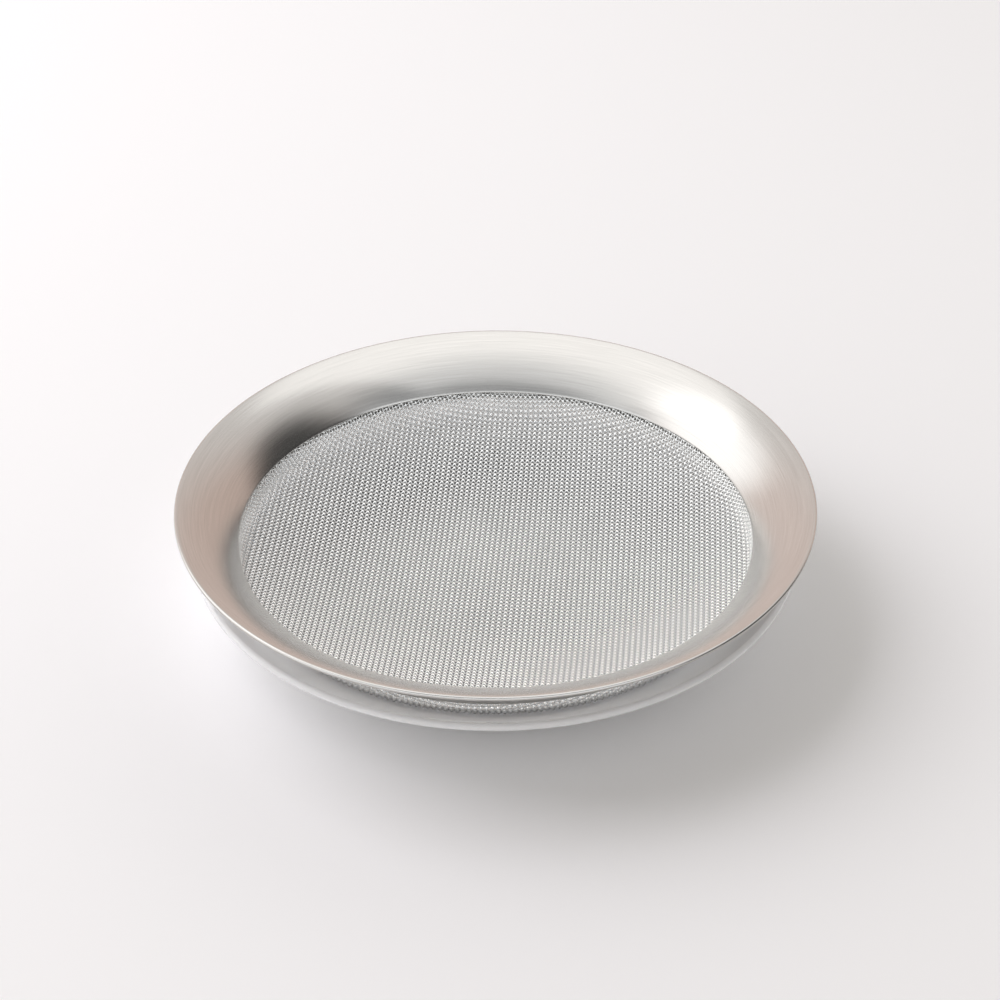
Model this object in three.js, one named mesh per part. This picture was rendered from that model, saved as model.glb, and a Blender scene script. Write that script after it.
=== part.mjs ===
// Shallow colander: a wide stainless rim, a woven bowl held under it by a clamp ring,
// and the dished drip tray that it stands in. Millimetres, +Z up, table at zero under the centre.
import * as THREE from 'three';

// Rim: one pressed sheet ring with its outer edge folded under
const rimRadius = 130;
const sheet = 0.8;
const hemThickness = 1.8;
const hemWidth = 6;
const edgeSlope = THREE.MathUtils.degToRad(19.8);
const sweepRadius = 53;
const rimWidth = 24.9;

// Bowl: a flat centre, a shallow dish round it, a tight corner, a short wall and a brim
const netThickness = 1.4;
const flatRadius = 30;
const dishRadius = 205;
const cornerRadius = 7.5;
const wallHeight = 2.35;
const netBend = 4.6;
const brimLength = 5.5;

// Clamp ring: one leg up under the brim, one round the top of the wall
const ringThickness = 1.5;
const ringLegLength = 7;
const ringEndSlope = THREE.MathUtils.degToRad(80);

// Tray: a dished floor, a cone that centres the bowl, a round lip and a foot ring
const trayThickness = 3;
const trayInset = 6.5;
const trayLipDrop = 20.2;
const drainGap = 2.5;
const footRadius = 54;
const footWidth = 4;
const footRecess = 2;

const clearance = 0.3;
const aroundSteps = 72;
const quarter = Math.PI / 2;

// The point of a round section where its upper face has the given slope towards the centre
function slopePoint(centre, radius, slope) {
  return new THREE.Vector2(
    centre.x - radius * Math.sin(slope),
    centre.y + radius * Math.cos(slope),
  );
}

function arc(centre, radius, from, to, steps) {
  const points = [];
  for (let i = 0; i <= steps; i += 1) {
    points.push(slopePoint(centre, radius, from + ((to - from) * i) / steps));
  }
  return points;
}

// Heights are measured from the top of the rim; the whole part is lifted onto the table below
const hemHalf = hemThickness / 2;
const noseCentre = new THREE.Vector2(rimRadius - hemHalf, -hemHalf);
const sweepStart = slopePoint(noseCentre, hemHalf, edgeSlope);
const sweepCentre = slopePoint(sweepStart, -sweepRadius, edgeSlope);
const neckSlope = Math.asin((sweepCentre.x - rimRadius + rimWidth) / sweepRadius);

// Middle surface of the bowl: each run ends where the next one starts, by length of wire
const netHalf = netThickness / 2;
const brimRadius = sweepRadius - sheet - clearance - netHalf;
const bendCentre = slopePoint(slopePoint(sweepCentre, brimRadius, neckSlope), -netBend, neckSlope);
const wallRadius = bendCentre.x - netBend;
const cornerCentre = new THREE.Vector2(wallRadius - cornerRadius, bendCentre.y - wallHeight);
const dishSpan = dishRadius - cornerRadius;
const dishSlope = Math.asin((cornerCentre.x - flatRadius) / dishSpan);
const dishCentre = new THREE.Vector2(flatRadius, cornerCentre.y + dishSpan * Math.cos(dishSlope));
const dishEnd = flatRadius + dishRadius * dishSlope;
const cornerEnd = dishEnd + cornerRadius * (quarter - dishSlope);
const wallEnd = cornerEnd + wallHeight;
const bendEnd = wallEnd + netBend * (quarter - neckSlope);
const brimEnd = bendEnd + brimLength;

function bowlSection(along) {
  if (along <= flatRadius) {
    return [new THREE.Vector2(along, dishCentre.y - dishRadius), 0];
  }
  if (along <= dishEnd) {
    const slope = (along - flatRadius) / dishRadius;
    return [slopePoint(dishCentre, -dishRadius, slope), slope];
  }
  if (along <= cornerEnd) {
    const slope = dishSlope + (along - dishEnd) / cornerRadius;
    return [slopePoint(cornerCentre, -cornerRadius, slope), slope];
  }
  if (along <= wallEnd) {
    return [new THREE.Vector2(wallRadius, cornerCentre.y + along - cornerEnd), quarter];
  }
  if (along <= bendEnd) {
    const slope = quarter - (along - wallEnd) / netBend;
    return [slopePoint(bendCentre, netBend, slope), slope];
  }
  const slope = neckSlope - (along - bendEnd) / brimRadius;
  return [slopePoint(sweepCentre, brimRadius, slope), slope];
}

// Lengths of wire from one point of the bowl to another, without the first
function stretch(from, to, steps) {
  return Array.from({ length: steps }, (_, i) => from + ((to - from) * (i + 1)) / steps);
}

// One face of the woven cloth, which is far too dense to model as anything but a shell
function bowlFace(offset) {
  const lengths = [
    0,
    flatRadius,
    ...stretch(flatRadius, dishEnd, 7),
    ...stretch(dishEnd, cornerEnd, 6),
    wallEnd,
    ...stretch(wallEnd, bendEnd, 3),
    ...stretch(bendEnd, brimEnd, 2),
  ];
  return lengths.map((along) => {
    const [point, slope] = bowlSection(along);
    return slopePoint(point, offset, slope);
  });
}

function turned(section) {
  const geometry = new THREE.LatheGeometry(section, aroundSteps);
  geometry.rotateX(quarter);
  return geometry;
}

const bowlProfile = [...bowlFace(-netHalf), ...bowlFace(netHalf).reverse()];

// Rim section: over the sweep, round the folded edge and back underneath
const hemEndSlope = edgeSlope + hemWidth / (sweepRadius - hemThickness);
const rimSection = [
  ...arc(sweepCentre, sweepRadius, neckSlope, edgeSlope, 7),
  ...arc(noseCentre, hemHalf, edgeSlope, edgeSlope - Math.PI, 5).slice(1),
  ...arc(sweepCentre, sweepRadius - hemThickness, edgeSlope, hemEndSlope, 2).slice(1),
  ...arc(sweepCentre, sweepRadius - sheet, hemEndSlope, neckSlope, 5),
].reverse();
rimSection.push(rimSection[0].clone());

// Clamp ring section: along the underside of the brim, down the bend and back
const ringTop = brimRadius - netHalf - clearance;
const ringBend = netBend - netHalf - clearance;
const legSlope = neckSlope - ringLegLength / ringTop;
const ringSection = [
  ...arc(bendCentre, ringBend, ringEndSlope, neckSlope, 3),
  ...arc(sweepCentre, ringTop, neckSlope, legSlope, 2).slice(1),
  ...arc(sweepCentre, ringTop - ringThickness, legSlope, neckSlope, 2),
  ...arc(bendCentre, ringBend - ringThickness, neckSlope, ringEndSlope, 2).slice(1),
].reverse();
ringSection.push(ringSection[0].clone());

// The cone of the tray touches the corner of the bowl from below and the lip from above
const seatRadius = cornerRadius + netHalf + clearance;
const trayHalf = trayThickness / 2;
const lipCentre = new THREE.Vector2(rimRadius - trayInset - trayHalf, -trayLipDrop);
const lipReach = lipCentre.clone().sub(cornerCentre);
const coneSlope = lipReach.angle() + Math.asin((seatRadius + trayHalf) / lipReach.length());
const floorRadius = dishRadius + netHalf + drainGap;
const underRadius = floorRadius + trayThickness;

// Slope of the floor where it runs into the cone at the given distance from the bowl's corner
function creaseSlope(radius, distance) {
  const start = slopePoint(cornerCentre, -distance, coneSlope).sub(dishCentre);
  const way = new THREE.Vector2(Math.cos(coneSlope), Math.sin(coneSlope));
  const middle = start.dot(way);
  const run = -middle - Math.sqrt(middle * middle - start.lengthSq() + radius * radius);
  return Math.asin(start.addScaledVector(way, run).x / radius);
}

function underSlope(radius) {
  return Math.asin((radius - flatRadius) / underRadius);
}

const footBottom = dishCentre.y - underRadius - footRecess;
const footOuter = footRadius + footWidth / 2;
const footInner = footRadius - footWidth / 2;
const footRound = footWidth / 8;
const floorCrease = creaseSlope(floorRadius, seatRadius);
const underCrease = creaseSlope(underRadius, seatRadius + trayThickness);
const traySection = [
  new THREE.Vector2(0, dishCentre.y - underRadius),
  ...arc(dishCentre, -underRadius, 0, underSlope(footInner), 1),
  new THREE.Vector2(footInner, footBottom + footRound),
  new THREE.Vector2(footInner + footRound, footBottom),
  new THREE.Vector2(footOuter - footRound, footBottom),
  new THREE.Vector2(footOuter, footBottom + footRound),
  ...arc(dishCentre, -underRadius, underSlope(footOuter), underCrease, 2),
  ...arc(lipCentre, trayHalf, coneSlope - Math.PI, coneSlope, 6),
  ...arc(dishCentre, -floorRadius, floorCrease, 0, 4),
  new THREE.Vector2(0, dishCentre.y - floorRadius),
];

const group = new THREE.Group();
group.name = 'shallow_colander';

function place(name, geometry, color, metalness, roughness) {
  geometry.translate(0, 0, -footBottom);
  const material = new THREE.MeshStandardMaterial({ color, metalness, roughness });
  const mesh = new THREE.Mesh(geometry, material);
  mesh.name = name;
  group.add(mesh);
}

place('rim_flange', turned(rimSection), 0xc9c5c0, 1, 0.3);
place('clamp_ring', turned(ringSection), 0xbfbcb8, 1, 0.35);
place('mesh_bowl', turned(bowlProfile), 0xa9a9a6, 1, 0.4);
place('drip_tray', turned(traySection), 0xf2f3f5, 0, 0.2);

export default group;
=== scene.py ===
import math

import bpy
import numpy as np
from mathutils import Matrix, Vector


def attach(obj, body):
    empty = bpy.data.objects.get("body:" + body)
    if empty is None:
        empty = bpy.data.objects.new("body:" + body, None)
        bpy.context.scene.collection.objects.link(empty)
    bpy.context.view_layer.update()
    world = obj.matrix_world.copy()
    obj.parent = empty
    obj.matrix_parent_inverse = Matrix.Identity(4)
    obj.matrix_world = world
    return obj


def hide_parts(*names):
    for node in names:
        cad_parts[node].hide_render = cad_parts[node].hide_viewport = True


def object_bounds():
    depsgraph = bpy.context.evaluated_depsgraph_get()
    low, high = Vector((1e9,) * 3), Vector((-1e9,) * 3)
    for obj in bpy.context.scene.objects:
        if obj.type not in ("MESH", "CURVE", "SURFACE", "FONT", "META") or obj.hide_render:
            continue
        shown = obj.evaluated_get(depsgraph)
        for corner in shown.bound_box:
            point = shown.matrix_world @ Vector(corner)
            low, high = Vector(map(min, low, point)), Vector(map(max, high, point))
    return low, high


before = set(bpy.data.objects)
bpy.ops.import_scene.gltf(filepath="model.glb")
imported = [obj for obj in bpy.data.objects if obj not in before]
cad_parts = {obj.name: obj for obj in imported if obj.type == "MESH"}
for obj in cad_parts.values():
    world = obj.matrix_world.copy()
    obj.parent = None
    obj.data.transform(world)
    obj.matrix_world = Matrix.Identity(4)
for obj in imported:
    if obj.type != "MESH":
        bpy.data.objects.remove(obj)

# Shallow colander: steel rim, woven bowl, clamp ring and drip tray.
# Sections are drawn in millimetres from the top of the rim and lifted onto the table.

cadLow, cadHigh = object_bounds()
mm = 0.001
perMetre = 1000   # millimetres
quarter = math.pi / 2
rimTop = cadHigh[2] / mm

view = {
    "place": (1.8, -801.7, 554.4),   # mm, from the middle of the rim's top
    "elevation": 34.81,              # degrees
    "roll": -0.22,
    "lens": 86.4,
    "sensor": 36.0,
}


def makeCamera():
    camera = bpy.data.objects.new("camera", bpy.data.cameras.new("camera"))
    bpy.context.scene.collection.objects.link(camera)
    camera.data.lens = view["lens"]
    camera.data.sensor_width = view["sensor"]
    x, y, z = view["place"]
    camera.matrix_world = (
        Matrix.Translation(Vector((x, y, z + rimTop)) * mm)
        @ Matrix.Rotation(math.radians(90 - view["elevation"]), 4, "X")
        @ Matrix.Rotation(math.radians(view["roll"]), 4, "Z")
    )
    bpy.context.scene.camera = camera


makeCamera()
print("camera set")


def linear(hexColour):
    parts = [int(hexColour[i:i + 2], 16) / 255 for i in (1, 3, 5)]
    return [c / 12.92 if c <= 0.04045 else ((c + 0.055) / 1.055) ** 2.4 for c in parts] + [1.0]


def addNode(tree, kind, values=None, links=None, **settings):
    made = tree.nodes.new(kind)
    for name, value in settings.items():
        setattr(made, name, value)
    for socket, value in (values or {}).items():
        made.inputs[socket].default_value = value
    for socket, source in (links or {}).items():
        tree.links.new(source, made.inputs[socket])
    return made


def newMaterial(name):
    material = bpy.data.materials.new(name)
    material.use_nodes = True
    material.node_tree.nodes.clear()
    return material, material.node_tree


def streakedFinish(tree, s):
    # noise stretched round the axis, fine across the streaks and long along them;
    # the colour, the roughness and the relief all follow it
    coords = addNode(tree, "ShaderNodeTexCoord").outputs["Object"]
    level = addNode(tree, "ShaderNodeVectorMath", {1: (1, 1, 0)}, {0: coords}, operation="MULTIPLY")
    heading = addNode(tree, "ShaderNodeVectorMath", None, {0: level.outputs[0]}, operation="NORMALIZE")
    turn = addNode(tree, "ShaderNodeVectorMath", {"Scale": s["streakRadius"] / s["streakLength"]},
                   {0: heading.outputs[0]}, operation="SCALE")
    reach = addNode(tree, "ShaderNodeVectorMath", None, {0: level.outputs[0]}, operation="LENGTH")
    split = addNode(tree, "ShaderNodeSeparateXYZ", None, {0: coords})
    out = addNode(tree, "ShaderNodeMath", None, {0: reach.outputs["Value"], 1: split.outputs["Z"]},
                  operation="ADD")
    across = addNode(tree, "ShaderNodeMath", {1: perMetre / s["streakWidth"]}, {0: out.outputs[0]},
                     operation="MULTIPLY")
    lift = addNode(tree, "ShaderNodeCombineXYZ", None, {"Z": across.outputs[0]})
    place = addNode(tree, "ShaderNodeVectorMath", None, {0: turn.outputs[0], 1: lift.outputs[0]},
                    operation="ADD")
    streaks = addNode(tree, "ShaderNodeTexNoise",
                      {"Scale": 1.0, "Detail": s["streakDetail"], "Roughness": 0.6},
                      {"Vector": place.outputs[0]}).outputs["Fac"]
    colour = addNode(tree, "ShaderNodeMix", {"A": linear(s["low"]), "B": linear(s["high"])},
                     {"Factor": streaks}, data_type="RGBA")
    rough = addNode(tree, "ShaderNodeMapRange", s["roughness"], {"Value": streaks})
    bump = addNode(tree, "ShaderNodeBump",
                   {"Strength": s["reliefStrength"], "Distance": s["relief"] * mm}, {"Height": streaks})
    return {"Base Color": colour.outputs["Result"], "Roughness": rough.outputs[0],
            "Normal": bump.outputs[0]}


brushedSteel = {
    "low": "#b9b7b4",
    "high": "#d3d1ce",
    "roughness": {"To Min": 0.16, "To Max": 0.28},
    "spread": 0.5,           # how much the sheen smears across the grit lines
    "spreadTurn": 0.25,      # a quarter turn from the way round the rim
    "streakWidth": 0.6,      # mm; real grit lines are about 0.05 mm, too fine to show
    "streakLength": 26,      # mm, measured at streakRadius
    "streakRadius": 118,
    "streakDetail": 4,
    "relief": 0.008,         # mm
    "reliefStrength": 0.6,
}


def brushedStainlessSteel():
    # 18/8 stainless, brushed round the axis: a soft sheen that smears across the fine rings
    s = brushedSteel
    material, tree = newMaterial("brushedStainlessSteel")
    around = addNode(tree, "ShaderNodeTangent", direction_type="RADIAL", axis="Z")
    steel = addNode(tree, "ShaderNodeBsdfPrincipled",
                    {"Metallic": 1.0, "Anisotropic": s["spread"], "Anisotropic Rotation": s["spreadTurn"]},
                    {**streakedFinish(tree, s), "Tangent": around.outputs[0]})
    addNode(tree, "ShaderNodeOutputMaterial", None, {"Surface": steel.outputs[0]})
    return material


ringSteel = {
    "low": "#a8a6a3",
    "high": "#c2c0bd",
    "roughness": {"To Min": 0.3, "To Max": 0.42},
    "streakWidth": 0.6,      # mm, coarser than real roll marks, which are too fine to show
    "streakLength": 30,
    "streakRadius": 108,
    "streakDetail": 3,
    "relief": 0.01,
    "reliefStrength": 0.5,
}


def rolledStainlessSteel():
    # the clamp ring is left as rolled: duller and greyer than the brushed rim
    material, tree = newMaterial("rolledStainlessSteel")
    steel = addNode(tree, "ShaderNodeBsdfPrincipled", {"Metallic": 1.0}, streakedFinish(tree, ringSteel))
    addNode(tree, "ShaderNodeOutputMaterial", None, {"Surface": steel.outputs[0]})
    return material


wireSteel = {
    # the wire's colour in painted shade and in painted highlight
    "paintedShade": "#484847",
    "bright": "#fbfbfa",
    "roughness": {"To Min": 0.4, "To Max": 0.24},   # in painted shade, in painted highlight
    "patch": 14,             # mm, slow unevenness of the whole cloth
    "patchShine": {"To Min": 0.95, "To Max": 1.08},
    "dieMark": 0.3,          # mm, coarser than real drawing marks
    "relief": 0.004,
    "reliefStrength": 0.5,
}


def drawnSteelWire():
    # drawn wire with a painted highlight on top of each crossing and painted shade, grey and dull, down
    # between them
    s = wireSteel
    material, tree = newMaterial("drawnSteelWire")
    coords = addNode(tree, "ShaderNodeTexCoord").outputs["Object"]
    slow = addNode(tree, "ShaderNodeTexNoise", {"Scale": perMetre / s["patch"], "Detail": 3.0},
                   {"Vector": coords})
    # painted highlight and painted shade, laid on the wire's points, set the colour and the roughness
    paintedShine = addNode(tree, "ShaderNodeAttribute", attribute_name="paintedShine")
    worn = addNode(tree, "ShaderNodeMapRange", s["patchShine"], {"Value": slow.outputs["Fac"]})
    shine = addNode(tree, "ShaderNodeMath", None, {0: paintedShine.outputs["Fac"], 1: worn.outputs[0]},
                    operation="MULTIPLY", use_clamp=True)
    colour = addNode(tree, "ShaderNodeMix", {"A": linear(s["paintedShade"]), "B": linear(s["bright"])},
                     {"Factor": shine.outputs[0]}, data_type="RGBA")
    rough = addNode(tree, "ShaderNodeMapRange", s["roughness"], {"Value": shine.outputs[0]})
    marks = addNode(tree, "ShaderNodeTexNoise", {"Scale": perMetre / s["dieMark"], "Detail": 2.0},
                    {"Vector": coords})
    bump = addNode(tree, "ShaderNodeBump",
                   {"Strength": s["reliefStrength"], "Distance": s["relief"] * mm},
                   {"Height": marks.outputs["Fac"]})
    steel = addNode(tree, "ShaderNodeBsdfPrincipled", {"Metallic": 1.0},
                    {"Base Color": colour.outputs["Result"], "Roughness": rough.outputs[0],
                     "Normal": bump.outputs[0]})
    addNode(tree, "ShaderNodeOutputMaterial", None, {"Surface": steel.outputs[0]})
    return material


melamine = {
    "low": "#ebedf1",
    "high": "#f4f6f9",
    "roughness": {"To Min": 0.1, "To Max": 0.17},
    "haze": 1.5,             # mm, how finely the gloss varies
    "wave": 38,              # mm, the slow waviness of a pressed gloss surface
    "relief": 0.02,
    "reliefStrength": 0.5,
    "ior": 1.52,
    "coat": 0.3,
    "coatRoughness": 0.05,
    "depth": 14,             # mm that light spreads inside
    "depthTint": (1.0, 0.96, 0.92),
    # by height above the table: the wall lets light through, the shaded floor none
    "glow": {"From Min": 10 * mm, "From Max": 20 * mm},
}


def mouldedMelamine():
    # melamine pressed in a polished mould: cold white, wet gloss, a trace of waviness
    s = melamine
    material, tree = newMaterial("mouldedMelamine")
    coords = addNode(tree, "ShaderNodeTexCoord").outputs["Object"]
    wave = addNode(tree, "ShaderNodeTexNoise", {"Scale": perMetre / s["wave"], "Detail": 2.0},
                   {"Vector": coords})
    fine = addNode(tree, "ShaderNodeTexNoise", {"Scale": perMetre / s["haze"], "Detail": 2.0},
                   {"Vector": coords})
    colour = addNode(tree, "ShaderNodeMix", {"A": linear(s["low"]), "B": linear(s["high"])},
                     {"Factor": wave.outputs["Fac"]}, data_type="RGBA")
    rough = addNode(tree, "ShaderNodeMapRange", s["roughness"], {"Value": fine.outputs["Fac"]})
    bump = addNode(tree, "ShaderNodeBump",
                   {"Strength": s["reliefStrength"], "Distance": s["relief"] * mm},
                   {"Height": wave.outputs["Fac"]})
    split = addNode(tree, "ShaderNodeSeparateXYZ", None, {0: coords})
    glow = addNode(tree, "ShaderNodeMapRange", s["glow"], {"Value": split.outputs["Z"]})
    white = addNode(tree, "ShaderNodeBsdfPrincipled",
                    {"IOR": s["ior"], "Coat Weight": s["coat"], "Coat Roughness": s["coatRoughness"],
                     "Subsurface Radius": s["depthTint"], "Subsurface Scale": s["depth"] * mm},
                    {"Base Color": colour.outputs["Result"], "Roughness": rough.outputs[0],
                     "Subsurface Weight": glow.outputs[0], "Normal": bump.outputs[0]})
    addNode(tree, "ShaderNodeOutputMaterial", None, {"Surface": white.outputs[0]})
    return material


# Sections: a point of a round run where its upper face has the given slope towards the centre
def slopePoint(centre, radius, slope):
    return (centre[0] - radius * math.sin(slope), centre[1] + radius * math.cos(slope))


def arc(centre, radius, start, end, steps):
    return [slopePoint(centre, radius, start + (end - start) * i / steps) for i in range(steps + 1)]


def filletCorner(before, corner, after, radius, steps):
    # rounds the corner between two straight runs
    a, b, c = (np.array(p, float) for p in (before, corner, after))
    toA = (a - b) / np.linalg.norm(a - b)
    toC = (c - b) / np.linalg.norm(c - b)
    half = math.acos(max(-1.0, min(1.0, float(toA @ toC)))) / 2
    middle = (toA + toC) / np.linalg.norm(toA + toC)
    centre = b + middle * radius / math.sin(half)
    start = b + toA * radius / math.tan(half) - centre
    end = b + toC * radius / math.tan(half) - centre
    turn = math.atan2(start[0] * end[1] - start[1] * end[0], float(start @ end))
    points = []
    for i in range(steps + 1):
        angle = turn * i / steps
        spun = (start[0] * math.cos(angle) - start[1] * math.sin(angle),
                start[0] * math.sin(angle) + start[1] * math.cos(angle))
        points.append((centre[0] + spun[0], centre[1] + spun[1]))
    return points


def makeObject(name, places, faces, material, body, sharp=None):
    # faces: arrays of corner numbers, each array with faces of one size
    mesh = bpy.data.meshes.new(name)
    mesh.vertices.add(len(places))
    mesh.vertices.foreach_set("co", np.ascontiguousarray(places, np.float32).ravel())
    mesh.loops.add(sum(group.size for group in faces))
    mesh.loops.foreach_set("vertex_index", np.concatenate([g.ravel() for g in faces]).astype(np.int32))
    starts = []
    offset = 0
    for group in faces:
        starts.append(offset + np.arange(len(group)) * group.shape[1])
        offset += group.size
    starts = np.concatenate(starts).astype(np.int32)
    mesh.polygons.add(len(starts))
    mesh.polygons.foreach_set("loop_start", starts)
    mesh.update(calc_edges=True)
    mesh.validate()
    mesh.shade_smooth()
    if sharp:
        mesh.set_sharp_from_angle(angle=math.radians(sharp))
    mesh.materials.append(material)
    made = bpy.data.objects.new(name, mesh)
    bpy.context.scene.collection.objects.link(made)
    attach(made, body)
    return made


onAxis = 1e-6   # mm from the axis, below which a point is the section's end


def turnSection(name, section, around, material, body, sharp=50):
    # section: (radius, height) in mm, counter-clockwise, closed on itself or on the axis
    angles = 2 * math.pi * np.arange(around) / around
    places, rows = [], []
    count = 0
    for radius, height in section:
        if radius < onAxis:
            places.append(np.array([[0.0, 0.0, height]]))
            rows.append(np.full(around, count))
            count += 1
        else:
            places.append(np.stack([radius * np.cos(angles), radius * np.sin(angles),
                                    np.full(around, height)], 1))
            rows.append(count + np.arange(around))
            count += around
    quads, tris = [], []
    pairs = list(zip(range(len(section) - 1), range(1, len(section))))
    if section[0][0] >= onAxis:
        pairs.append((len(section) - 1, 0))
    for i, j in pairs:
        a, b = rows[i], rows[j]
        nextA, nextB = np.roll(a, -1), np.roll(b, -1)
        if section[i][0] < onAxis:
            tris.append(np.stack([a, b, nextB], 1)[:, ::-1])
        elif section[j][0] < onAxis:
            tris.append(np.stack([a, nextA, b], 1))
        else:
            quads.append(np.stack([a, nextA, nextB, b], 1))
    groups = [np.concatenate(quads)] + ([np.concatenate(tris)] if tris else [])
    spots = (np.concatenate(places) + [0, 0, rimTop]) * mm
    return makeObject(name, spots, groups, material, body, sharp)


clearance = 0.3

rim = {
    "radius": 130.0,
    "sheet": 0.8,
    "hemThickness": 1.8,
    "hemWidth": 6.0,
    "edgeSlope": math.radians(19.8),
    "sweepRadius": 53.0,
    "neckRadius": 105.1,
    "around": 288,
    "sweepSteps": (36, 30),   # upper and lower face
    "noseSteps": 14,
    "bendSteps": 6,
}

hemHalf = rim["hemThickness"] / 2
noseCentre = (rim["radius"] - hemHalf, -hemHalf)
sweepStart = slopePoint(noseCentre, hemHalf, rim["edgeSlope"])
sweepCentre = slopePoint(sweepStart, -rim["sweepRadius"], rim["edgeSlope"])
neckSlope = math.asin((sweepCentre[0] - rim["neckRadius"]) / rim["sweepRadius"])


def makeRim():
    # one sheet: over the sweep, round the nose, back under itself, and out again to the neck
    edge, sheet, sweep = rim["edgeSlope"], rim["sheet"], rim["sweepRadius"]
    upperSteps, lowerSteps = rim["sweepSteps"]
    bendSteps = rim["bendSteps"]
    under = sweep - rim["hemThickness"]
    foldEnd = edge + rim["hemWidth"] / under
    half = sheet / 2
    neckMid = slopePoint(sweepCentre, sweep - half, neckSlope)
    foldMid = slopePoint(sweepCentre, under + half, foldEnd)
    section = arc(sweepCentre, sweep, neckSlope, edge, upperSteps)
    section += arc(noseCentre, hemHalf, edge, edge - math.pi, rim["noseSteps"])[1:]
    section += arc(sweepCentre, under, edge, foldEnd, bendSteps)[1:]
    section += arc(foldMid, half, foldEnd + math.pi, foldEnd, bendSteps)[1:]
    section += arc(sweepCentre, under + sheet, foldEnd, edge, bendSteps)[1:]
    section += arc(noseCentre, hemHalf - sheet, edge - math.pi, edge, bendSteps)[1:]
    section += arc(sweepCentre, sweep - sheet, edge, neckSlope, lowerSteps)[1:]
    section += arc(neckMid, half, neckSlope + math.pi, neckSlope, bendSteps)[1:-1]
    section.reverse()
    made = turnSection("rimSheet", section, rim["around"], brushedStainlessSteel(), "colander")
    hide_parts("rim_flange")


makeRim()
print("rim turned")

bowl = {
    "thickness": 1.4,        # mm of the whole cloth
    "flatRadius": 30.0,
    "dishRadius": 205.0,
    "cornerRadius": 7.5,
    "wallHeight": 2.35,
    "bend": 4.6,
    "brimLength": 5.5,
    "pitch": 1.62,           # mm between wires
    "wire": 0.74,            # mm
    "ways": (40.6, 130.6),   # degrees of the two wire directions
    "stepsPerPitch": 4,
    "sides": 8,
    "shortest": 2,           # pitches: half the length of the shortest wire that is laid
    # painted light on the wires: how bright each place is painted, as a share of the painted highlight
    "flankShine": 0.4,       # a wire's side, of the full shine of its top
    "crownGain": 1.6,        # what it gains from there on the way up
    "dipShine": 0.55,        # its top where it dips under the next wire
    "wallShine": 0.8,        # all round it, past the corner
}

clothHalf = bowl["thickness"] / 2
brimRadius = rim["sweepRadius"] - rim["sheet"] - clearance - clothHalf
bendCentre = slopePoint(slopePoint(sweepCentre, brimRadius, neckSlope), -bowl["bend"], neckSlope)
wallRadius = bendCentre[0] - bowl["bend"]
cornerCentre = (wallRadius - bowl["cornerRadius"], bendCentre[1] - bowl["wallHeight"])
dishSpan = bowl["dishRadius"] - bowl["cornerRadius"]
dishSlope = math.asin((cornerCentre[0] - bowl["flatRadius"]) / dishSpan)
dishCentre = (bowl["flatRadius"], cornerCentre[1] + dishSpan * math.cos(dishSlope))
dishEnd = bowl["flatRadius"] + bowl["dishRadius"] * dishSlope
cornerEnd = dishEnd + bowl["cornerRadius"] * (quarter - dishSlope)
wallEnd = cornerEnd + bowl["wallHeight"]
bendEnd = wallEnd + bowl["bend"] * (quarter - neckSlope)
brimEnd = bendEnd + bowl["brimLength"]


def bowlSection(along):
    # (radius, height, slope) of the middle of the cloth, by length of wire from the centre
    onDish = np.clip(along - bowl["flatRadius"], 0, None) / bowl["dishRadius"]
    onCorner = dishSlope + (along - dishEnd) / bowl["cornerRadius"]
    onBend = quarter - (along - wallEnd) / bowl["bend"]
    onBrim = neckSlope - (along - bendEnd) / brimRadius
    flat = np.clip(along, None, bowl["flatRadius"]) - bowl["flatRadius"]
    zone = [along <= dishEnd, along <= cornerEnd, along <= wallEnd, along <= bendEnd]
    radius = np.select(zone, [
        flat + dishCentre[0] + bowl["dishRadius"] * np.sin(onDish),
        cornerCentre[0] + bowl["cornerRadius"] * np.sin(onCorner),
        np.full_like(along, wallRadius),
        bendCentre[0] - bowl["bend"] * np.sin(onBend),
    ], sweepCentre[0] - brimRadius * np.sin(onBrim))
    height = np.select(zone, [
        dishCentre[1] - bowl["dishRadius"] * np.cos(onDish),
        cornerCentre[1] - bowl["cornerRadius"] * np.cos(onCorner),
        cornerCentre[1] + along - cornerEnd,
        bendCentre[1] + bowl["bend"] * np.cos(onBend),
    ], sweepCentre[1] + brimRadius * np.cos(onBrim))
    slope = np.select(zone, [onDish, onCorner, np.full_like(along, quarter), onBend], onBrim)
    return radius, height, slope


wireRadius = bowl["wire"] / 2
wireAngles = 2 * math.pi * np.arange(bowl["sides"]) / bowl["sides"]


def layWire(way, offset, half, over):
    # laid flat, over one wire and under the next, then pressed with the cloth to the bowl's shape
    steps = int(2 * half / bowl["pitch"] * bowl["stepsPerPitch"])
    t = np.linspace(-half, half, steps + 1)
    rise = wireRadius * np.cos(math.pi * (t / bowl["pitch"] - 0.5)) * over
    flat = t[:, None] * way + offset * np.array([-way[1], way[0]])
    along = np.hypot(flat[:, 0], flat[:, 1])
    radius, height, slope = bowlSection(along)
    out = flat / along[:, None]
    up = np.column_stack([-np.sin(slope)[:, None] * out, np.cos(slope)])
    middle = np.column_stack([radius[:, None] * out, height]) + rise[:, None] * up
    return middle, up, rise, along


def wireSkin(middle, up):
    # a ring of points round each point of the wire's middle, the first on its left
    heading = np.gradient(middle, axis=0)
    heading /= np.linalg.norm(heading, axis=1)[:, None]
    left = np.cross(up, heading)
    left /= np.linalg.norm(left, axis=1)[:, None]
    top = np.cross(heading, left)
    ring = (middle[:, None, :] + wireRadius * np.cos(wireAngles)[None, :, None] * left[:, None, :]
            + wireRadius * np.sin(wireAngles)[None, :, None] * top[:, None, :])
    return ring.reshape(-1, 3)


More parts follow.
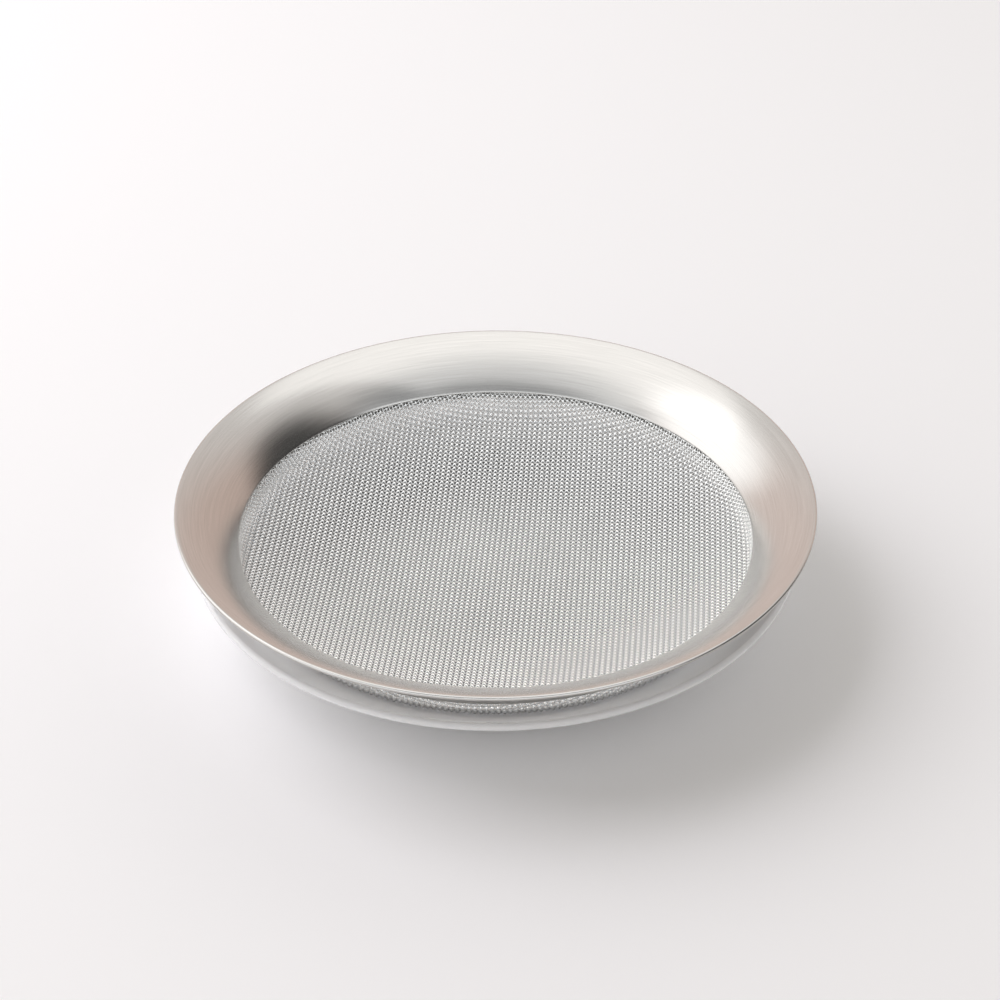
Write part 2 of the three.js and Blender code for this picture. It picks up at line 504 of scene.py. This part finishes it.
def paintedWireLight(rise, along):
    # painted highlight where it bows up, painted shade where it dips and on the underside of the dish; past
    # the corner the wall keeps most of the highlight all round
    bow = (rise[:, None] / wireRadius + 1) / 2
    dip = bowl["dipShine"]
    upper = np.clip(bowl["flankShine"] + bowl["crownGain"] * np.sin(wireAngles)[None, :], 0, 1)
    onWall = np.clip((along - dishEnd) / (cornerEnd - dishEnd), 0, bowl["wallShine"])[:, None]
    return np.maximum(upper * (dip + (1 - dip) * bow), onWall).ravel()


def makeWeave():
    pitch, sides = bowl["pitch"], bowl["sides"]
    reach = brimEnd - wireRadius
    count = int(reach / pitch - 0.5)
    corners = np.arange(sides)
    spots, quads, caps, shine = [], [], [], []
    total = 0
    for which, degrees in enumerate(bowl["ways"]):
        way = np.array([math.cos(math.radians(degrees)), math.sin(math.radians(degrees))])
        for i in range(-count - 1, count + 1):
            offset = (i + 0.5) * pitch
            half = math.sqrt(max(reach * reach - offset * offset, 0))
            if half < bowl["shortest"] * pitch:
                continue
            middle, up, rise, along = layWire(way, offset, half, 1 if (i + which) % 2 else -1)
            spots.append(wireSkin(middle, up))
            shine.append(paintedWireLight(rise, along))
            rows = total + np.arange(len(middle) - 1)[:, None] * sides
            first, after = rows + corners, rows + (corners + 1) % sides
            quads.append(np.stack([first, after, after + sides, first + sides], 2).reshape(-1, 4))
            total += len(middle) * sides
            caps.append(first[0, ::-1])
            caps.append(total - sides + corners)
    places = (np.concatenate(spots) + [0, 0, rimTop]) * mm
    faces = [np.concatenate(quads), np.array(caps)]
    made = makeObject("wovenBowl", places, faces, drawnSteelWire(), "colander")
    # painted highlight and painted shade of each point of the wires
    paintedShine = made.data.attributes.new("paintedShine", "FLOAT", "POINT")
    paintedShine.data.foreach_set("value", np.concatenate(shine).astype(np.float32))
    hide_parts("mesh_bowl")


makeWeave()
print("bowl woven")

ring = {
    "thickness": 1.5,
    "legLength": 7.0,
    "endSlope": math.radians(80),
    "around": 288,
    "steps": 6,
    "roundSteps": 8,   # of the outer bend and of both rounded ends
}


def makeRing():
    # one leg up under the brim of the cloth, one round the top of its wall, both ends rounded
    top = brimRadius - clothHalf - clearance
    bend = bowl["bend"] - clothHalf - clearance
    thickness, end = ring["thickness"], ring["endSlope"]
    steps, roundSteps = ring["steps"], ring["roundSteps"]
    half = thickness / 2
    legSlope = neckSlope - ring["legLength"] / top
    legMid = slopePoint(sweepCentre, top - half, legSlope)
    endMid = slopePoint(bendCentre, bend - half, end)
    section = arc(bendCentre, bend, end, neckSlope, roundSteps)
    section += arc(sweepCentre, top, neckSlope, legSlope, steps)[1:]
    section += arc(legMid, half, legSlope, legSlope - math.pi, roundSteps)[1:]
    section += arc(sweepCentre, top - thickness, legSlope, neckSlope, steps)[1:]
    section += arc(bendCentre, bend - thickness, neckSlope, end, steps)[1:]
    section += arc(endMid, half, end + math.pi, end, roundSteps)[1:-1]
    section.reverse()
    made = turnSection("clampRing", section, ring["around"], rolledStainlessSteel(), "colander")
    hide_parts("clamp_ring")


makeRing()
print("clamp ring turned")

tray = {
    "thickness": 3.0,
    "lipRadius": 123.5,
    "lipDrop": 20.2,
    "drainGap": 2.5,
    "footRadius": 54.0,
    "footWidth": 4.0,
    "footRecess": 2.0,
    "footRound": 0.8,
    "footRun": 4.0,        # mm of underside beside the foot that its fillet leans on
    "footClear": 3.0,      # mm beside the foot where the plain underside starts again
    "creaseRound": 30.0,
    "creaseRun": 0.03,     # radians of the straight run into the crease's rounding
    "hubRadius": 15.0,     # a row of points round the middle, so that no triangle there is long
    "around": 288,
    "underSteps": (6, 12),      # of the underside, inside and outside the foot
    "footSteps": (4, 5, 5, 4),  # of its four corners, from the inside out
    "creaseSteps": 8,
    "faceSteps": 18,            # of the lip, and of the floor's upper face
    "sharp": 40,                # degrees
}


def makeTray():
    half = tray["thickness"] / 2
    seat = bowl["cornerRadius"] + clothHalf + clearance
    lip = (tray["lipRadius"] - half, -tray["lipDrop"])
    reach = (lip[0] - cornerCentre[0], lip[1] - cornerCentre[1])
    cone = math.atan2(reach[1], reach[0]) + math.asin((seat + half) / math.hypot(*reach))
    floor = bowl["dishRadius"] + clothHalf + tray["drainGap"]
    under = floor + tray["thickness"]

    def crease(radius, distance):
        # the slope where the dished floor runs into the cone
        start = np.array(slopePoint(cornerCentre, -distance, cone)) - dishCentre
        way = np.array([math.cos(cone), math.sin(cone)])
        middle = float(start @ way)
        run = -middle - math.sqrt(middle * middle - float(start @ start) + radius * radius)
        return math.asin((start + way * run)[0] / radius)

    def roundedCrease(radius, slope, coneEnd):
        before = slopePoint(dishCentre, -radius, slope - tray["creaseRun"])
        corner = slopePoint(dishCentre, -radius, slope)
        return filletCorner(before, corner, coneEnd, tray["creaseRound"], tray["creaseSteps"])

    def underSlope(radius):
        return math.asin((radius - bowl["flatRadius"]) / under)

    def underPoint(radius):
        return slopePoint(dishCentre, -under, underSlope(radius))

    floorEnd = crease(floor, seat)
    underEnd = crease(under, seat + tray["thickness"])
    bottom = dishCentre[1] - under - tray["footRecess"]
    outer = tray["footRadius"] + tray["footWidth"] / 2
    inner = tray["footRadius"] - tray["footWidth"] / 2
    # round the foot: out along the underside, down, across, up and on, with each corner rounded
    foot = [underPoint(inner - tray["footRun"]), underPoint(inner), (inner, bottom),
            (outer, bottom), underPoint(outer), underPoint(outer + tray["footRun"])]
    insideSteps, outsideSteps = tray["underSteps"]
    section = [(0.0, dishCentre[1] - under), (tray["hubRadius"], dishCentre[1] - under)]
    section += arc(dishCentre, -under, 0, underSlope(inner), insideSteps)[:-1]
    for i, steps in enumerate(tray["footSteps"]):
        section += filletCorner(*foot[i:i + 3], tray["footRound"], steps)
    section += arc(dishCentre, -under, underSlope(outer + tray["footClear"]),
                   underEnd - tray["creaseRun"], outsideSteps)
    section += roundedCrease(under, underEnd, slopePoint(lip, half, cone - math.pi))
    section += arc(lip, half, cone - math.pi, cone, tray["faceSteps"])
    section += roundedCrease(floor, floorEnd, slopePoint(lip, half, cone))[::-1]
    section += arc(dishCentre, -floor, floorEnd - tray["creaseRun"], 0, tray["faceSteps"])
    section += [(tray["hubRadius"], dishCentre[1] - floor), (0.0, dishCentre[1] - floor)]
    made = turnSection("dripTray", section, tray["around"], mouldedMelamine(), "tray", tray["sharp"])
    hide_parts("drip_tray")


makeTray()
print("tray turned")

board = {
    "colour": "#f7f6f5",
    "half": 6.0,             # metres
    "roughness": 0.7,
    "shine": 0.2,
    "grains": 900.0,         # to a metre
    "relief": 0.1,           # mm
    "reliefStrength": 0.1,
}


def makeFloor():
    # matt painted board: no sheen, and a grain that only breaks the surface up
    material, tree = newMaterial("mattPaintedBoard")
    coords = addNode(tree, "ShaderNodeTexCoord").outputs["Object"]
    grain = addNode(tree, "ShaderNodeTexNoise", {"Scale": board["grains"], "Detail": 3.0},
                    {"Vector": coords})
    bump = addNode(tree, "ShaderNodeBump",
                   {"Strength": board["reliefStrength"], "Distance": board["relief"] * mm},
                   {"Height": grain.outputs["Fac"]})
    paint = addNode(tree, "ShaderNodeBsdfPrincipled",
                    {"Base Color": linear(board["colour"]), "Roughness": board["roughness"],
                     "Specular IOR Level": board["shine"]},
                    {"Normal": bump.outputs[0]})
    addNode(tree, "ShaderNodeOutputMaterial", None, {"Surface": paint.outputs[0]})
    h = board["half"]
    mesh = bpy.data.meshes.new("floor")
    mesh.from_pydata([(-h, -h, 0), (h, -h, 0), (h, h, 0), (-h, h, 0)], [], [(0, 1, 2, 3)])
    mesh.materials.append(material)
    floor = bpy.data.objects.new("floor", mesh)
    bpy.context.scene.collection.objects.link(floor)


makeFloor()

room = {
    "backLeft": "#ffeee7",         # warm along the back
    "backRight": "#e5cfc4",
    "high": "#f6f4f2",             # neutral from half way up
    "front": "#eef1f4",            # cool behind the camera
    "wash": "#fdfaf7",             # what matt surfaces get instead: warm, where the window is cold
    "washLean": (-0.28, 0.5, 0),   # how much more of it comes from the left and the back
    "dark": 0.06,                  # strength of the dark patches
    "bright": 1.9,                 # strength of the window patch
    # where one turns into the next, along X, Y or Z of a direction of length 1
    "leftToRight": {"From Min": -0.6, "From Max": 0.6},
    "lowToHigh": {"From Min": 0.3, "From Max": 0.8},
    "backToFront": {"From Min": 0.05, "From Max": -0.45},
    # strengths low down and higher up
    "frontPower": {"From Min": 0.5, "From Max": 0.62, "To Min": 1.7, "To Max": 0.4},
    "washPower": {"From Min": 0.35, "From Max": 0.75, "To Min": 1.1, "To Max": 0.45},
}

# patches of the room that show in the metal: which way they lie, and how many degrees from
# their middle they end and are full
patches = {
    "doorway": {"way": (0.89, 0.16, 0.42), "spread": (27, 8)},
    "nook": {"way": (1.0, 0.0, 0.08), "spread": (42, 26)},
    "window": {"way": (-0.85, 0.27, 0.46), "spread": (34, 8)},
}


def addPatch(tree, heading, name):
    # 1 in the middle of the patch, 0 past its edge
    way = Vector(patches[name]["way"]).normalized()
    toward = addNode(tree, "ShaderNodeVectorMath", {1: way}, {0: heading}, operation="DOT_PRODUCT")
    edge, core = (math.cos(math.radians(angle)) for angle in patches[name]["spread"])
    return addNode(tree, "ShaderNodeMapRange", {"From Min": edge, "From Max": core},
                   {"Value": toward.outputs["Value"]}, interpolation_type="SMOOTHSTEP").outputs[0]


def addWalls(tree, split):
    # warm low down at the back, neutral above, cool and bright behind the camera
    sideways = addNode(tree, "ShaderNodeMapRange", room["leftToRight"], {"Value": split.outputs["X"]},
                       interpolation_type="SMOOTHSTEP")
    low = addNode(tree, "ShaderNodeMix", {"A": linear(room["backLeft"]), "B": linear(room["backRight"])},
                  {"Factor": sideways.outputs[0]}, data_type="RGBA")
    climb = addNode(tree, "ShaderNodeMapRange", room["lowToHigh"], {"Value": split.outputs["Z"]},
                    interpolation_type="SMOOTHSTEP")
    back = addNode(tree, "ShaderNodeMix", {"B": linear(room["high"])},
                   {"Factor": climb.outputs[0], "A": low.outputs["Result"]}, data_type="RGBA")
    power = addNode(tree, "ShaderNodeMapRange", room["frontPower"], {"Value": split.outputs["Z"]},
                    interpolation_type="SMOOTHSTEP")
    front = addNode(tree, "ShaderNodeVectorMath", {0: linear(room["front"])[:3]},
                    {"Scale": power.outputs[0]}, operation="SCALE")
    behind = addNode(tree, "ShaderNodeMapRange", room["backToFront"], {"Value": split.outputs["Y"]},
                     interpolation_type="SMOOTHSTEP")
    return addNode(tree, "ShaderNodeMix", None,
                   {"Factor": behind.outputs[0], "A": back.outputs["Result"], "B": front.outputs[0]},
                   data_type="RGBA").outputs["Result"]


def makeRoom():
    world = bpy.data.worlds.new("studio")
    bpy.context.scene.world = world
    world.use_nodes = True
    tree = world.node_tree
    tree.nodes.clear()
    heading = addNode(tree, "ShaderNodeTexCoord").outputs["Generated"]
    split = addNode(tree, "ShaderNodeSeparateXYZ", None, {0: heading})
    dark = addNode(tree, "ShaderNodeMath", None,
                   {0: addPatch(tree, heading, "doorway"), 1: addPatch(tree, heading, "nook")},
                   operation="MAXIMUM")
    dimmed = addNode(tree, "ShaderNodeMix", {"B": [room["dark"]] * 3 + [1.0]},
                     {"Factor": dark.outputs[0], "A": addWalls(tree, split)}, data_type="RGBA")
    shown = addNode(tree, "ShaderNodeMix", {"B": [room["bright"]] * 3 + [1.0]},
                    {"Factor": addPatch(tree, heading, "window"), "A": dimmed.outputs["Result"]},
                    data_type="RGBA")
    path = addNode(tree, "ShaderNodeLightPath")
    # a picture of any side has a plain pale wall behind the object, without windows and doorways
    framed = addNode(tree, "ShaderNodeMix", {"B": linear(room["high"])},
                     {"Factor": path.outputs["Is Camera Ray"], "A": shown.outputs["Result"]},
                     data_type="RGBA")
    # metal, gloss and the camera see the room, and matt surfaces get a soft wash instead
    either = addNode(tree, "ShaderNodeMath", None,
                     {0: path.outputs["Is Camera Ray"], 1: path.outputs["Is Glossy Ray"]},
                     operation="MAXIMUM")
    seen = addNode(tree, "ShaderNodeMath", None,
                   {0: either.outputs[0], 1: path.outputs["Is Transmission Ray"]}, operation="MAXIMUM")
    wash = addNode(tree, "ShaderNodeMapRange", room["washPower"], {"Value": split.outputs["Z"]},
                   interpolation_type="SMOOTHSTEP")
    lean = addNode(tree, "ShaderNodeVectorMath", {1: room["washLean"]}, {0: heading},
                   operation="DOT_PRODUCT")
    level = addNode(tree, "ShaderNodeMath", None,
                    {0: wash.outputs[0], 1: lean.outputs["Value"], 2: wash.outputs[0]},
                    operation="MULTIPLY_ADD")
    soft = addNode(tree, "ShaderNodeBackground", {"Color": linear(room["wash"])},
                   {"Strength": level.outputs[0]})
    backdrop = addNode(tree, "ShaderNodeBackground", {"Strength": 1.0}, {"Color": framed.outputs["Result"]})
    mix = addNode(tree, "ShaderNodeMixShader", None,
                  {0: seen.outputs[0], 1: soft.outputs[0], 2: backdrop.outputs[0]})
    addNode(tree, "ShaderNodeOutputWorld", None, {"Surface": mix.outputs[0]})


# The box lies level overhead and shows in metal and gloss alone. The window faces the colander and
# lights matt surfaces alone, because the room's own window patch stands for it in the metal.
lamps = {
    "box": {"place": (-0.5, 0.03, 1.8), "size": (2.9, 2.4), "power": 15.0, "colour": "#ffffff",
            "inMetal": True},
    "window": {"place": (-1.2, 0.55, 1.4), "size": (1.6, 1.6), "power": 21.5, "colour": "#f8f6fe",
               "inMetal": False},
}


def makeLamp(name):
    s = lamps[name]
    lamp = bpy.data.lights.new(name + "Light", "AREA")
    lamp.shape = "RECTANGLE"
    lamp.size, lamp.size_y = s["size"]
    lamp.energy = s["power"]
    lamp.color = linear(s["colour"])[:3]
    made = bpy.data.objects.new(name + "Light", lamp)
    bpy.context.scene.collection.objects.link(made)
    place = Vector(s["place"])
    back = Vector((0, 0, 1)) if s["inMetal"] else place
    made.matrix_world = Matrix.Translation(place) @ back.to_track_quat("Z", "Y").to_matrix().to_4x4()
    made.visible_glossy = s["inMetal"]
    made.visible_diffuse = not s["inMetal"]


makeRoom()
for name in lamps:
    makeLamp(name)
print("studio lit")

bpy.context.scene.view_settings.view_transform = "Standard"
